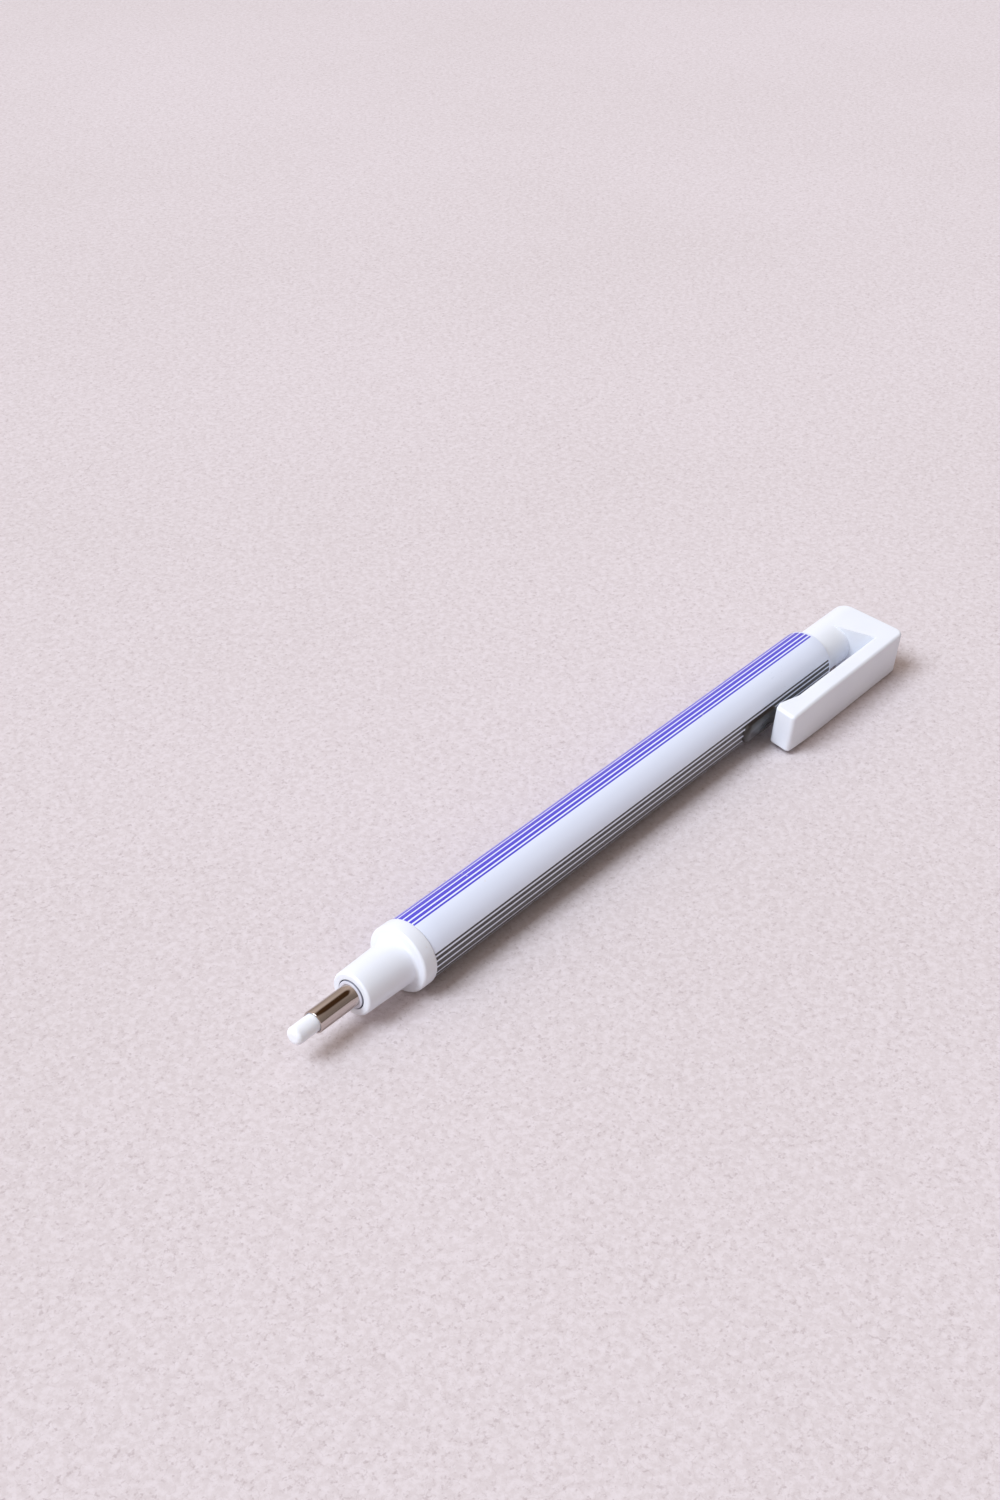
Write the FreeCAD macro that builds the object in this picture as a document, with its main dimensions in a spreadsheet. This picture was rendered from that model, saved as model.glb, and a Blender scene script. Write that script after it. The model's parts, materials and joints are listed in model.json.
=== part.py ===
"""Push-button eraser stick: a pencil-like holder that feeds a thin round eraser.

Stations are measured in millimetres along the pen from where a new eraser's tip would
stand; this one is worn a little shorter and round. The pen lies along X with its nose
towards -X. The frame's origin is on the pen's axis in the
plain middle of the barrel. The clip is made pointing to -Y and then rolled down a few
degrees, as the pen lies on a table on its collar, its barrel and the clip's lower edge.
"""
import FreeCAD
import Part
import Sketcher
import math
import os
import re

# name: (value, what it is). Stations and radii in millimetres, angles in degrees.
SIZES = {
    "datum": (55.0, "station of the frame's origin"),
    "clip_roll": (6.2, "how far the clip points below level"),
    "eraser_radius": (1.15, "eraser core"),
    "eraser_tip": (0.85, "its tip, worn back this far"),
    "eraser_end": (88.0, "its rear end"),
    "eraser_wear": (0.8, "rounding of the worn tip"),
    "pipe_mouth": (4.2, "front end of the guide pipe"),
    "pipe_radius": (1.43, "guide pipe outside"),
    "pipe_bore": (1.2, "guide pipe inside"),
    "pipe_shoulder": (10.5, "where the pipe starts to widen, just inside its bush"),
    "shoulder_end": (10.8, "where it is fully wide"),
    "pipe_rear": (1.62, "wide rear part of the pipe, which can't slip out forwards"),
    "rear_bore": (1.39, "bore of that part"),
    "lip_bevel": (0.06, "bevel of the pipe's lips"),
    "bush_front": (10.4, "front face of the pipe bush"),
    "bush_radius": (1.82, "pipe bush in the nose's mouth"),
    "bush_step": (12.0, "where the bush widens"),
    "bush_body": (2.05, "pipe bush behind the mouth"),
    "flange_radius": (2.4, "rear flange of the pipe bush"),
    "nose_face": (10.56, "front face of the nose cone"),
    "nose_radius": (2.87, "nose cone at its face"),
    "nose_bore": (1.92, "mouth of the nose cone"),
    "mouth_end": (11.8, "rear end of that mouth"),
    "bush_bore": (2.12, "nose's bore for the bush"),
    "nose_step": (18.5, "where the nose's bore widens"),
    "nose_chamber": (2.45, "wide bore of the nose cone"),
    "collar_front": (18.5, "front face of the collar"),
    "collar_rear": (20.8, "rear face of the collar"),
    "collar_radius": (4.42, "collar"),
    "nose_root_radius": (3.08, "nose cone at the collar"),
    "root_fillet": (0.3, "hollow between the nose cone and the collar"),
    "spigot_radius": (3.6, "screwed spigot behind the collar"),
    "spigot_end": (34.0, "rear end of the spigot"),
    "retainer_front": (20.5, "front of the soft retainer"),
    "retainer_end": (26.5, "rear of the soft retainer"),
    "retainer_lip": (23.5, "rear end of its narrow lip"),
    "retainer_bore": (1.17, "that lip, just clear of the eraser"),
    "retainer_mouth": (1.67, "its bore at the rear"),
    "barrel_radius": (4.25, "barrel outside"),
    "barrel_end": (107.4, "rear end of the barrel"),
    "sleeve_bore": (3.3, "barrel bore that holds the mechanism sleeve"),
    "middle_bore": (3.05, "barrel bore behind the sleeve"),
    "knock_bore": (3.46, "barrel bore that guides the knock"),
    "knock_bore_start": (91.5, "front end of the knock's bore"),
    "key_reach": (3.8, "groove in the barrel for the knock's key"),
    "key_width": (1.2, "width of that groove"),
    "boss_front": (84.8, "raised oblong pad under the clip's tip"),
    "boss_rear": (93.2, "rear end of that pad"),
    "boss_width": (2.9, "width of that pad"),
    "boss_round": (1.4, "rounding of that pad's ends"),
    "boss_height": (0.55, "how far that pad stands proud"),
    "boss_root": (0.5, "how deep that pad is rooted in the barrel"),
    "sleeve_end": (54.0, "rear end of the mechanism sleeve"),
    "sleeve_inside": (2.75, "mechanism sleeve inside"),
    "web_front": (37.5, "front face of the sleeve's inner web"),
    "web_rear": (39.0, "rear face of that web, the spring's fixed seat"),
    "web_bore": (1.95, "hole in that web"),
    "ring_front": (35.0, "front of the clutch ring"),
    "ring_radius": (2.7, "clutch ring outside"),
    "wedge_gap": (0.04, "clearance of the chuck's cone in its ring"),
    "chuck_front": (33.0, "front of the chuck's jaws"),
    "chuck_head": (2.3, "jaws outside"),
    "chuck_waist": (1.88, "jaws where their cone ends"),
    "waist_end": (37.8, "where the jaws have narrowed to the stem"),
    "chuck_stem": (1.75, "chuck's stem"),
    "chuck_bore": (1.2, "hole through the chuck"),
    "chuck_end": (53.0, "rear end of the chuck"),
    "slit_width": (0.4, "slits that part the jaws"),
    "slit_end": (45.0, "rear end of the slits"),
    "jaws": (3, "number of jaws"),
    "seat_front": (49.0, "connector's flange, the spring's moving seat"),
    "seat_depth": (1.2, "length of that flange"),
    "seat_radius": (2.6, "that flange outside"),
    "connector_radius": (2.15, "connector's body"),
    "connector_bore": (1.35, "hole through the connector"),
    "connector_end": (59.0, "rear end of the connector"),
    "tube_front": (51.2, "front end of the feed tube"),
    "tube_radius": (2.6, "feed tube outside"),
    "tube_end": (103.0, "rear end of the feed tube"),
    "spring_wire": (0.4, "diameter of the spring's wire"),
    "wire_sides": (8, "sides of the wire, which nothing shows"),
    "spring_radius": (2.3, "spring, axis to the middle of its wire"),
    "spring_turns": (6.5, "turns of the spring"),
    "spring_close": (0.42, "how much closer the end turns lie"),
    "knock_front": (96.0, "front end of the knock"),
    "knock_radius": (3.4, "knock's round part"),
    "knock_socket": (2.62, "knock's socket for the feed tube"),
    "socket_end": (103.5, "rear end of that socket"),
    "knock_hollow": (2.15, "knock's hollow behind the socket"),
    "hollow_end": (117.6, "rear end of that hollow"),
    "key_front": (100.0, "front end of the knock's key"),
    "key_length": (6.0, "length of that key"),
    "key_gap": (0.1, "clearance between that key and its groove"),
    "block_side": (3.4, "half the width of the block and the clip, as wide as the knock"),
    "knock_rear": (119.5, "rear face"),
    "rear_round": (1.3, "rounding of the rear corners"),
    "gap_foot": (112.8, "end of the clip's gap, abreast of the axis"),
    "gap_end": (114.8, "end of the clip's gap, at the arm"),
    "arm_inside": (6.35, "clip arm's inner face, from the axis"),
    "arm_outside": (8.8, "clip arm's outer face at its root"),
    "tip_outside": (9.0, "clip arm's outer face at its tip"),
    "tip_front": (89.6, "front end of the clip"),
    "hook_rear": (94.8, "where the clip's hook begins"),
    "hook_inside": (5.4, "the hook's nearest point to the axis"),
    "hook_crest": (91.4, "station of that point"),
    "hook_front": (90.1, "station where the hook turns out"),
    "hook_lead": (5.7, "its distance from the axis there"),
    "hook_hollow": (3.0, "rounding between the arm and its hook"),
    "hook_crown": (1.0, "rounding of the hook's crest"),
    "tip_round": (0.6, "rounding of the tip's corners"),
    "edge_round": (0.45, "rounding of the clip's and the block's long edges"),
    "nose_bevel": (0.28, "bevel of the nose's face and the collar"),
    "end_bevel": (0.2, "bevel of the barrel's rear end, of the pad and of hidden ends"),
    "small_bevel": (0.1, "bevel of the small rings"),
}

doc = FreeCAD.newDocument("eraser_stick")
sheet = doc.addObject("Spreadsheet::Sheet", "sizes")
for row, (alias, (number, meaning)) in enumerate(SIZES.items(), 1):
    sheet.set(f"A{row}", alias)
    sheet.set(f"B{row}", str(number))
    sheet.setAlias(f"B{row}", alias)
    sheet.set(f"C{row}", meaning)
doc.recompute()


def bound(words):
    """An expression over the sheet: every word that isn't a function names a cell."""
    return re.sub(r"[a-z][a-z_]*(?!\w|\()", lambda word: "sizes." + word.group(), words)


def size(words):
    """The present value of such an expression."""
    return float(sheet.evalExpression(bound(words)))


def origin_plane(body, role):
    """One of the body's own origin planes."""
    return next(f for f in body.Origin.OriginFeatures if f.Role == role)


def new_body(name, rolled=False):
    """An empty body on the pen's axis; a rolled one turns down with the clip."""
    body = doc.addObject("PartDesign::Body", name)
    body.Label = name
    body.setExpression("Placement.Base.x", bound("-datum"))
    if rolled:
        body.Placement.Rotation = FreeCAD.Rotation(FreeCAD.Vector(1, 0, 0), 0)
        body.setExpression("Placement.Rotation.Angle", bound("clip_roll"))
    return body


def outline(body, name, role, corners, offset="0"):
    """A closed sketch of straight sides whose corners are pairs of bound expressions."""
    sketch = body.newObject("Sketcher::SketchObject", name)
    sketch.AttachmentSupport = [(origin_plane(body, role), "")]
    sketch.MapMode = "FlatFace"
    sketch.setExpression("AttachmentOffset.Base.z", bound(offset))
    pairs = [corner.split(",") for corner in corners]
    spots = [FreeCAD.Vector(size(along), size(across), 0) for along, across in pairs]
    count = len(spots)
    for i in range(count):
        sketch.addGeometry(Part.LineSegment(spots[i], spots[(i + 1) % count]), False)
    for i in range(count):
        sketch.addConstraint(Sketcher.Constraint("Coincident", i, 2, (i + 1) % count, 1))
    for i in range(count):
        fix_corner(sketch, i, "DistanceX", pairs[i][0], spots[i].x, -2)
        fix_corner(sketch, i, "DistanceY", pairs[i][1], spots[i].y, -1)
    return sketch


def fix_corner(sketch, line, kind, words, value, axis):
    """Holds a line's first point at its distance from the sketch's other axis."""
    if abs(value) < 1e-9:
        sketch.addConstraint(Sketcher.Constraint("PointOnObject", line, 1, axis))
        return
    number = sketch.addConstraint(Sketcher.Constraint(kind, -1, 1, line, 1, value))
    sketch.setExpression(f"Constraints[{number}]", bound(words))


def turned(body, name, corners, kind="PartDesign::Revolution"):
    """A section of (station, radius) corners turned once round the pen's axis."""
    section = outline(body, name + "_section", "XZ_Plane", corners)
    feature = body.newObject(kind, name)
    feature.Profile = section
    feature.ReferenceAxis = (section, ["H_Axis"])
    feature.Angle = 360
    doc.recompute()
    return feature


def extruded(body, name, sketch, length, kind="PartDesign::Pad", both_ways=False):
    """A pad or a pocket of a sketch; both_ways centres it on the sketch's plane."""
    feature = body.newObject(kind, name)
    feature.Profile = sketch
    feature.setExpression("Length", bound(length))
    if both_ways:
        feature.SideType = "Symmetric"
    doc.recompute()
    return feature


def rounded(body, name, edges, radius):
    """A fillet of the named edges of the body's last feature."""
    if not edges:
        raise ValueError(f"{name}: no edge found to round")
    base = body.Tip
    feature = body.newObject("PartDesign::Fillet", name)
    feature.Base = (base, edges)
    feature.setExpression("Radius", bound(radius))
    doc.recompute()
    return feature


def bevelled(body, name, edges, width):
    """A chamfer of the named edges of the body's last feature."""
    if not edges:
        raise ValueError(f"{name}: no edge found to bevel")
    base = body.Tip
    feature = body.newObject("PartDesign::Chamfer", name)
    feature.Base = (base, edges)
    feature.setExpression("Size", bound(width))
    doc.recompute()
    return feature


def rims(body, *places):
    """Names of the round edges about the axis at (station, radius) places."""
    wanted = [(size(station), size(radius)) for station, radius in places]
    names = []
    for number, edge in enumerate(body.Tip.Shape.Edges, 1):
        curve = edge.Curve
        if not isinstance(curve, Part.Circle) or abs(abs(curve.Axis.x) - 1) > 1e-6:
            continue
        for station, radius in wanted:
            if abs(curve.Center.x - station) < 1e-3 and abs(curve.Radius - radius) < 1e-3:
                names.append(f"Edge{number}")
    return names


def standing(body, places):
    """Names of the edges along Z that pass through (x, y) places."""
    wanted = [(size(x), size(y)) for x, y in places]
    names = []
    for number, edge in enumerate(body.Tip.Shape.Edges, 1):
        low, high = edge.Vertexes[0].Point, edge.Vertexes[-1].Point
        if abs(low.x - high.x) > 1e-6 or abs(low.y - high.y) > 1e-6 or low == high:
            continue
        if any(abs(low.x - x) < 1e-3 and abs(low.y - y) < 1e-3 for x, y in wanted):
            names.append(f"Edge{number}")
    return names


def make_eraser_core():
    """The round eraser, from its tip to its end in the feed tube."""
    body = new_body("eraser_core")
    turned(body, "core", ["eraser_tip, 0", "eraser_tip, eraser_radius",
                          "eraser_end, eraser_radius", "eraser_end, 0"])
    rounded(body, "worn_tip", rims(body, ("eraser_tip", "eraser_radius")), "eraser_wear")
    return body


def make_guide_pipe():
    """The steel pipe round the eraser, drawn wider where its bush holds it."""
    body = new_body("guide_pipe")
    turned(body, "pipe", ["pipe_mouth, pipe_bore", "pipe_mouth, pipe_radius",
                          "pipe_shoulder, pipe_radius", "shoulder_end, pipe_rear",
                          "retainer_front, pipe_rear", "retainer_front, rear_bore",
                          "shoulder_end, rear_bore", "pipe_shoulder, pipe_bore"])
    lips = rims(body, ("pipe_mouth", "pipe_bore"), ("pipe_mouth", "pipe_radius"))
    bevelled(body, "mouth_lips", lips, "lip_bevel")
    return body


def make_pipe_bush():
    """The pale bush that centres the pipe and shows as a ring in the nose's mouth."""
    body = new_body("pipe_bush")
    turned(body, "bush", ["bush_front, pipe_radius", "bush_front, bush_radius",
                          "bush_step, bush_radius", "bush_step, bush_body",
                          "nose_step, bush_body", "nose_step, flange_radius",
                          "retainer_front, flange_radius", "retainer_front, pipe_rear",
                          "shoulder_end, pipe_rear", "pipe_shoulder, pipe_radius"])
    bevelled(body, "ring_edge", rims(body, ("bush_front", "bush_radius")), "small_bevel")
    return body


def make_nose_cone():
    """The slightly tapered nose with its collar and the screwed spigot behind it."""
    body = new_body("nose_cone")
    turned(body, "cone", ["nose_face, nose_bore", "nose_face, nose_radius",
                          "collar_front - root_fillet, nose_root_radius",
                          "collar_front, nose_root_radius + root_fillet",
                          "collar_front, collar_radius",
                          "collar_rear, collar_radius", "collar_rear, spigot_radius",
                          "spigot_end, spigot_radius", "spigot_end, nose_chamber",
                          "nose_step, nose_chamber", "nose_step, bush_bore",
                          "mouth_end, bush_bore", "mouth_end, nose_bore"])
    bevelled(body, "face_edge", rims(body, ("nose_face", "nose_radius")), "nose_bevel")
    bevelled(body, "mouth_edge", rims(body, ("nose_face", "nose_bore")), "small_bevel")
    collar = rims(body, ("collar_front", "collar_radius"), ("collar_rear", "collar_radius"))
    bevelled(body, "collar_edges", collar, "nose_bevel")
    return body


def make_eraser_retainer():
    """The soft ring that keeps the eraser from sliding back when the chuck opens."""
    body = new_body("eraser_retainer")
    turned(body, "ring", ["retainer_front, retainer_bore", "retainer_front, nose_chamber",
                          "retainer_end, nose_chamber", "retainer_end, retainer_mouth",
                          "retainer_lip, retainer_bore"])
    return body


def make_mechanism_sleeve():
    """The sleeve that carries the clutch ring in front of its web and the spring behind."""
    body = new_body("mechanism_sleeve")
    turned(body, "sleeve", ["spigot_end, sleeve_inside", "spigot_end, sleeve_bore",
                            "sleeve_end, sleeve_bore", "sleeve_end, sleeve_inside",
                            "web_rear, sleeve_inside", "web_rear, web_bore",
                            "web_front, web_bore", "web_front, sleeve_inside"])
    return body


def make_clutch_ring():
    """The ring whose cone closes the jaws while the spring pulls them back into it."""
    body = new_body("clutch_ring")
    turned(body, "ring", ["ring_front, chuck_head + wedge_gap", "ring_front, ring_radius",
                          "web_front, ring_radius", "web_front, chuck_waist + wedge_gap"])
    bevelled(body, "ring_edge", rims(body, ("ring_front", "ring_radius")), "small_bevel")
    return body


def make_chuck():
    """The slit chuck: a conical head in springy jaws on a plain stem."""
    body = new_body("chuck")
    turned(body, "blank", ["chuck_front, chuck_bore", "chuck_front, chuck_head",
                           "ring_front, chuck_head", "web_front, chuck_waist",
                           "waist_end, chuck_stem", "chuck_end, chuck_stem",
                           "chuck_end, chuck_bore"])
    lips = rims(body, ("chuck_front", "chuck_bore"), ("chuck_front", "chuck_head"))
    bevelled(body, "jaw_lips", lips, "end_bevel")
    slot = outline(body, "slit_section", "YZ_Plane",
                   ["0, -slit_width / 2", "2 * chuck_head, -slit_width / 2",
                    "2 * chuck_head, slit_width / 2", "0, slit_width / 2"], "slit_end")
    whole = body.Tip.Shape.Volume
    slit = extruded(body, "slit", slot, "slit_end - chuck_front", "PartDesign::Pocket")
    if slit.Shape.Volume > whole - 1:
        raise ValueError("the slit cuts nothing")
    jaws = body.newObject("PartDesign::PolarPattern", "jaws")
    jaws.Originals = [slit]
    jaws.Axis = (next(f for f in body.Origin.OriginFeatures if f.Role == "X_Axis"), [""])
    jaws.Angle = 360
    jaws.setExpression("Occurrences", bound("jaws"))
    body.Tip = jaws
    doc.recompute()
    return body


def make_chuck_connector():
    """The connector between the chuck's stem and the feed tube, and the spring's seat."""
    body = new_body("chuck_connector")
    turned(body, "connector", ["seat_front, chuck_stem", "seat_front, seat_radius",
                               "seat_front + seat_depth, seat_radius",
                               "seat_front + seat_depth, connector_radius",
                               "connector_end, connector_radius",
                               "connector_end, connector_bore",
                               "chuck_end, connector_bore", "chuck_end, chuck_stem"])
    lead = rims(body, ("connector_end", "connector_radius"))
    bevelled(body, "lead", lead, "end_bevel")
    return body


def make_feed_tube():
    """The long thin tube that holds the eraser behind the chuck and carries the knock."""
    body = new_body("feed_tube")
    turned(body, "tube", ["tube_front, connector_radius", "tube_front, tube_radius",
                          "tube_end, tube_radius", "tube_end, connector_radius"])
    bevelled(body, "lead", rims(body, ("tube_end", "tube_radius")), "end_bevel")
    return body


def make_barrel():
    """The barrel: a stepped tube with the clip's pad outside and the key's groove inside."""
    body = new_body("barrel", rolled=True)
    turned(body, "tube", ["collar_rear, spigot_radius", "collar_rear, barrel_radius",
                          "barrel_end, barrel_radius", "barrel_end, knock_bore",
                          "knock_bore_start, knock_bore", "knock_bore_start, middle_bore",
                          "sleeve_end, middle_bore", "sleeve_end, sleeve_bore",
                          "spigot_end, sleeve_bore", "spigot_end, spigot_radius"])
    bevelled(body, "end_edge", rims(body, ("barrel_end", "barrel_radius")), "end_bevel")
    pad = outline(body, "boss_section", "XZ_Plane",
                  ["boss_front, -boss_width / 2", "boss_rear, -boss_width / 2",
                   "boss_rear, boss_width / 2", "boss_front, boss_width / 2"],
                  "barrel_radius - boss_root")
    extruded(body, "boss", pad, "boss_height + boss_root")
    rounded(body, "boss_ends", crosswise(body, "boss_height + barrel_radius"), "boss_round")
    bevelled(body, "boss_edge", flat_rim(body, "boss_height + barrel_radius"), "end_bevel")
    key = outline(body, "groove_section", "YZ_Plane",
                  ["-key_reach, -key_width / 2", "-middle_bore, -key_width / 2",
                   "-middle_bore, key_width / 2", "-key_reach, key_width / 2"], "barrel_end")
    whole = body.Tip.Shape.Volume
    groove = extruded(body, "key_groove", key, "barrel_end - knock_bore_start",
                      "PartDesign::Pocket")
    if groove.Shape.Volume > whole - 1:
        raise ValueError("the key's groove cuts nothing")
    return body


def crosswise(body, reach):
    """Names of the edges along Y that end at the boss's outer face."""
    names = []
    for number, edge in enumerate(body.Tip.Shape.Edges, 1):
        ends = [vertex.Point for vertex in edge.Vertexes]
        if len(ends) != 2 or abs(ends[0].x - ends[1].x) > 1e-6:
            continue
        if abs(ends[0].z - ends[1].z) > 1e-6 or ends[0] == ends[1]:
            continue
        if min(ends[0].y, ends[1].y) < -size(reach) + 1e-3:
            names.append(f"Edge{number}")
    return names


def flat_rim(body, reach):
    """Names of the edges that lie in the boss's outer face."""
    names = []
    for number, edge in enumerate(body.Tip.Shape.Edges, 1):
        box = edge.BoundBox
        if box.YMax < -size(reach) + 1e-3:
            names.append(f"Edge{number}")
    return names


def make_knock_with_clip():
    """The knock and its clip, one moulding: a socket, a block, an arm and a hook."""
    body = new_body("knock_with_clip", rolled=True)
    turned(body, "round_part", ["knock_front, 0", "knock_front, knock_radius",
                                "knock_rear, knock_radius", "knock_rear, 0"])
    side = outline(body, "side_view", "XY_Plane", [
        "gap_foot, 0", "gap_end, -arm_inside",
        "hook_rear, -arm_inside", "hook_crest, -hook_inside",
        "hook_front, -hook_lead", "tip_front, -tip_outside",
        "knock_rear, -arm_outside", "knock_rear, 0"])
    extruded(body, "block_and_arm", side, "2 * block_side", both_ways=True)
    rounded(body, "rear_corner", standing(body, [("knock_rear", "-arm_outside")]), "rear_round")
    rounded(body, "hook_hollow", standing(body, [("hook_rear", "-arm_inside")]), "hook_hollow")
    rounded(body, "hook_crown", standing(body, [("hook_crest", "-hook_inside")]), "hook_crown")
    rounded(body, "tip_corners", standing(body, [
        ("hook_front", "-hook_lead"), ("tip_front", "-tip_outside")]), "tip_round")
    rounded(body, "soft_edges", brims(body), "edge_round")
    turned(body, "hollow", ["knock_front, 0", "knock_front, knock_socket",
                            "socket_end, knock_socket", "socket_end, knock_hollow",
                            "hollow_end, knock_hollow", "hollow_end, 0"],
           "PartDesign::Groove")
    key = outline(body, "key_section", "YZ_Plane",
                  ["-key_reach + key_gap, -key_width / 2 + key_gap",
                   "-knock_socket, -key_width / 2 + key_gap",
                   "-knock_socket, key_width / 2 - key_gap",
                   "-key_reach + key_gap, key_width / 2 - key_gap"], "key_front")
    extruded(body, "key", key, "key_length")
    return body


def brims(body):
    """Names of the sharp edges of the moulding's two flat sides and of its rear face.

    The edges of the gap's end wall run out into the round part and stay sharp, and the
    lines where the flat sides leave the round part are smooth already.
    """
    side, rear = size("block_side"), size("knock_rear")
    foot, root = size("gap_foot"), size("gap_end")
    names = []
    for number, edge in enumerate(body.Tip.Shape.Edges, 1):
        box = edge.BoundBox
        on_side = box.ZLength < 1e-3 and abs(abs(box.ZMin) - side) < 1e-3
        on_rear = box.XLength < 1e-3 and abs(box.XMin - rear) < 1e-3
        is_smooth = box.YLength < 1e-3 and abs(box.YMin) < 1e-3
        is_wall = box.XMin > foot - 1e-3 and box.XMax < root + 1e-3
        if (on_side and not is_wall and not is_smooth) or on_rear:
            names.append(f"Edge{number}")
    return names


def arc_to(start, corner, end):
    """The arc from start to end whose end tangents meet at the corner."""
    middle = (start + end) * 0.5
    rise = corner - middle
    half_chord = (end - start).Length / 2
    half_turn = math.atan2(rise.Length, half_chord)
    top = middle + rise.normalize() * (half_chord * math.tan(half_turn / 2))
    return Part.Arc(start, top, end).toShape()


def biarc(first, heading_in, last, heading_out):
    """Two arcs that join two points with a given heading at each."""
    across = last - first
    both = heading_in + heading_out
    spread = 2 * (1 - heading_in.dot(heading_out))
    along = across.dot(both)
    reach = (math.sqrt(along * along + spread * across.dot(across)) - along) / spread
    corner_in = first + heading_in * reach
    corner_out = last - heading_out * reach
    joint = (corner_in + corner_out) * 0.5
    return [arc_to(first, corner_in, joint), arc_to(joint, corner_out, last)]


def make_return_spring():
    """The spring: a helix whose pitch is least at its ends, swept by its wire."""
    wire = size("spring_wire") / 2
    start = size("web_rear") + wire
    length = size("seat_front") - wire - start
    radius = size("spring_radius")
    turns = size("spring_turns")
    close = size("spring_close")

    def place(share):
        """The helix's point and heading at a share of its length, from 0 to 1."""
        angle = 2 * math.pi * turns * share
        station = start + length * (share - close * math.sin(2 * math.pi * share) / (2 * math.pi))
        climb = length * (1 - close * math.cos(2 * math.pi * share))
        speed = 2 * math.pi * turns * radius
        point = FreeCAD.Vector(station, radius * math.cos(angle), radius * math.sin(angle))
        heading = FreeCAD.Vector(climb, -speed * math.sin(angle), speed * math.cos(angle))
        return point, heading.normalize()

    halves = int(2 * turns)
    stops = [place(i / halves) for i in range(halves + 1)]
    edges = []
    for (first, heading_in), (last, heading_out) in zip(stops, stops[1:]):
        edges += biarc(first, heading_in, last, heading_out)
    path = Part.Wire(edges)
    rim = Part.Circle(stops[0][0], stops[0][1], wire)
    sides = int(size("wire_sides"))
    section = Part.makePolygon([rim.value(2 * math.pi * i / sides) for i in range(sides)]
                               + [rim.value(0)])
    spring = doc.addObject("Part::Feature", "return_spring")
    spring.Label = "return_spring"
    spring.Shape = path.makePipeShell([section], True, False)
    spring.Placement.Base.x = -size("datum")
    per_turn = 48
    points = [place(i / (per_turn * turns))[0] for i in range(int(per_turn * turns) + 1)]
    gap = min((points[i] - points[j]).Length for i in range(len(points))
              for j in range(i + per_turn // 2, len(points)))
    print(f"return_spring: least gap between turns {gap - 2 * wire:.2f} mm")
    return spring


pieces = [
    make_eraser_core(), make_guide_pipe(), make_pipe_bush(), make_nose_cone(),
    make_eraser_retainer(), make_mechanism_sleeve(), make_clutch_ring(), make_chuck(),
    make_chuck_connector(), make_feed_tube(), make_barrel(), make_knock_with_clip(),
    make_return_spring(),
]
doc.recompute()
for thing in doc.Objects:
    if any(word in state for state in thing.State for word in ("Invalid", "Error")):
        raise RuntimeError(f"{thing.Label} failed: {thing.State}")
os.makedirs("parts", exist_ok=True)
for piece in pieces:
    shape = piece.Shape
    if shape.isNull() or not shape.isValid() or len(shape.Solids) != 1:
        raise RuntimeError(f"{piece.Label} is not one valid solid")
    shape.exportStep(os.path.join("parts", piece.Label + ".step"))
    print(f"{piece.Label}: {shape.Volume:.1f} cubic mm, {len(shape.Faces)} faces")
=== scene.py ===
"""Looks of a push-button eraser stick, lying on a pale table.

The pen's axis is the X axis of the frame, with the eraser towards -X and the clip
towards -Y. Turned pieces are profiles carried once round that axis. A profile is a
list of (station, radius, rounding) corners in millimetres. Stations count from where a
new eraser's tip would stand, 55 mm in front of the frame's origin.

Where a piece starts and ends, and its largest radius, come from its CAD node's box. The
sizes in between, which no box gives, are named below.
"""
import json
import math
import bpy
import bmesh
import numpy as np
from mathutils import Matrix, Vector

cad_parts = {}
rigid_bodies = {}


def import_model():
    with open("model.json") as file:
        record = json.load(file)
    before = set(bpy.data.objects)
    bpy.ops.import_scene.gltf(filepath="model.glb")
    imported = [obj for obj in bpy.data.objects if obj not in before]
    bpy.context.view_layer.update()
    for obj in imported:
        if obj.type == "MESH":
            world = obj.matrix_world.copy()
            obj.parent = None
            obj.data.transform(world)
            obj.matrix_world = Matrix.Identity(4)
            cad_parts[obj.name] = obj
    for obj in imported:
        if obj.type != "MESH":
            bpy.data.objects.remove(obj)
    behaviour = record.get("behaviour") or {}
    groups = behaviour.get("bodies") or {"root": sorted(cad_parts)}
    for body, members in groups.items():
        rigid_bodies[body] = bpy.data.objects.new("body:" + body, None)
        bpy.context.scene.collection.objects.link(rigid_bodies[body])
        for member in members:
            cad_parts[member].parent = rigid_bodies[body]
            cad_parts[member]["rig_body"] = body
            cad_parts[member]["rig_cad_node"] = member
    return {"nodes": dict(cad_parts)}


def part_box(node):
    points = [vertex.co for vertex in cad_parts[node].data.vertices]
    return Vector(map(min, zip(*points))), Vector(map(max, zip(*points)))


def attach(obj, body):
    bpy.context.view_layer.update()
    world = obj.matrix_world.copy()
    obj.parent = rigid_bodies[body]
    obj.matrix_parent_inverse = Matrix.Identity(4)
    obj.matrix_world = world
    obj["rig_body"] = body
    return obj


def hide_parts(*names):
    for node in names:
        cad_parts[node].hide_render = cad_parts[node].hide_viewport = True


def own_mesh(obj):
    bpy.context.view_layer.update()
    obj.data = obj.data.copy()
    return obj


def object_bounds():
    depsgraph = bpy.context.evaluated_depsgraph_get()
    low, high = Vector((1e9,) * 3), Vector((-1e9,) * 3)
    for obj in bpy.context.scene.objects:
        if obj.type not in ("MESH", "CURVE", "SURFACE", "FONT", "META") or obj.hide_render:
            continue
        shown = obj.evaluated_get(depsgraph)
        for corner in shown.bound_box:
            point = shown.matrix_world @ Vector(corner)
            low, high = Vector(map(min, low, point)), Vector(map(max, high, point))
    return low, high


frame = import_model()
cad_low, cad_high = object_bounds()

MM = 0.001
START = -55 * MM                   # where stations start, on the X axis
CLIP_ROLL = math.radians(6.2)      # how far the clip points below level

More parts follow.
